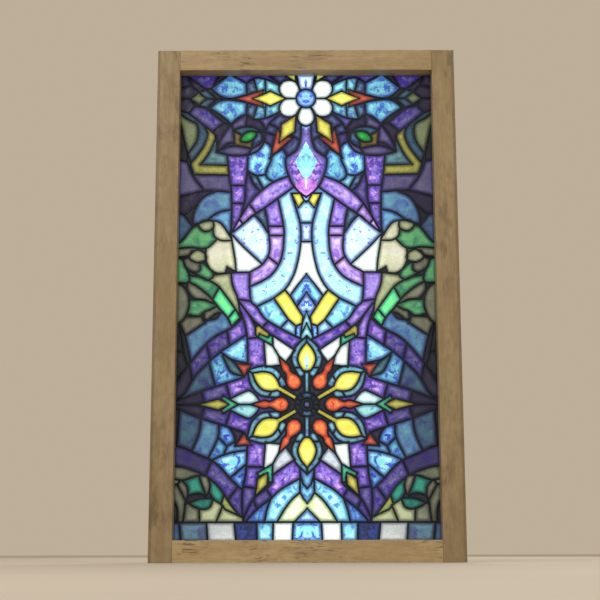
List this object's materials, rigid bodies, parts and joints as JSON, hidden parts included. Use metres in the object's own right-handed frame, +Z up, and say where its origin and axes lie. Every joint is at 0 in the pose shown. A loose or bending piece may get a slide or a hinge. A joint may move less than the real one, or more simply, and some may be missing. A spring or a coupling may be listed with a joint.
{
  "type": "stained glass panel",
  "caption": "Leaded stained glass panel with a symmetrical floral pattern in a plain square-edged oak frame, made to hang on a wall.",
  "frame": {"origin": "The middle of the top rail's back, where the panel rests on the wall.", "axes": "+Z is up, +X is to the right as seen from the front, and the front faces -Y. The back lies on y = 0."},
  "size_m": [0.6, 0.052, 1.02],
  "materials": {
    "oak": "pale washed oak, worn, with dark streaks",
    "bead_wood": "plain unfinished wood",
    "lead": "dark, patinated lead, with the field panes fused in it",
    "pool_glass": "blue art glass",
    "milk_glass": "white opal glass",
    "sun_glass": "yellow art glass",
    "flame_glass": "red-orange art glass",
    "mottle_glass": "mottled blue art glass",
    "cyan_glass": "cyan art glass",
    "rose_glass": "rose art glass",
    "leaf_glass": "green art glass",
    "violet_glass": "violet art glass"
  },
  "bodies": {
    "root": {"bottom_rail": "oak", "top_rail": "oak", "left_stile": "oak", "right_stile": "oak", "bottom_bead": "bead_wood", "top_bead": "bead_wood", "left_bead": "bead_wood", "right_bead": "bead_wood", "lead_cames_with_field_glass": "lead", "daisy_disc": "pool_glass", "vase_drop": "cyan_glass", "vase_base": "rose_glass", "daisy_petal_1": "milk_glass", "daisy_petal_2": "milk_glass", "daisy_petal_3": "milk_glass", "daisy_petal_4": "milk_glass", "daisy_petal_5": "milk_glass", "daisy_petal_6": "milk_glass", "daisy_kite_1": "sun_glass", "daisy_kite_2": "sun_glass", "daisy_kite_3": "sun_glass", "daisy_kite_4": "sun_glass", "daisy_chevron_1": "flame_glass", "daisy_chevron_2": "flame_glass", "daisy_chevron_3": "flame_glass", "daisy_chevron_4": "flame_glass", "blue_petal_1": "mottle_glass", "blue_petal_2": "mottle_glass", "blue_petal_3": "mottle_glass", "blue_petal_4": "mottle_glass", "green_almond_1": "leaf_glass", "green_almond_2": "leaf_glass", "rosette_yellow_petal_1": "sun_glass", "rosette_yellow_petal_2": "sun_glass", "rosette_yellow_petal_3": "sun_glass", "rosette_yellow_petal_4": "sun_glass", "rosette_yellow_petal_5": "sun_glass", "rosette_yellow_petal_6": "sun_glass", "rosette_red_bud_1": "flame_glass", "rosette_red_bud_2": "flame_glass", "rosette_red_bud_3": "flame_glass", "rosette_red_bud_4": "flame_glass", "rosette_red_bud_5": "flame_glass", "rosette_red_bud_6": "flame_glass", "rosette_white_petal_1": "milk_glass", "rosette_white_petal_2": "milk_glass", "rosette_white_petal_3": "milk_glass", "rosette_white_petal_4": "milk_glass", "vase_shoulders": "violet_glass", "bracket_bend_1": "violet_glass", "bracket_bend_2": "violet_glass"}
  },
  "joints": []
}
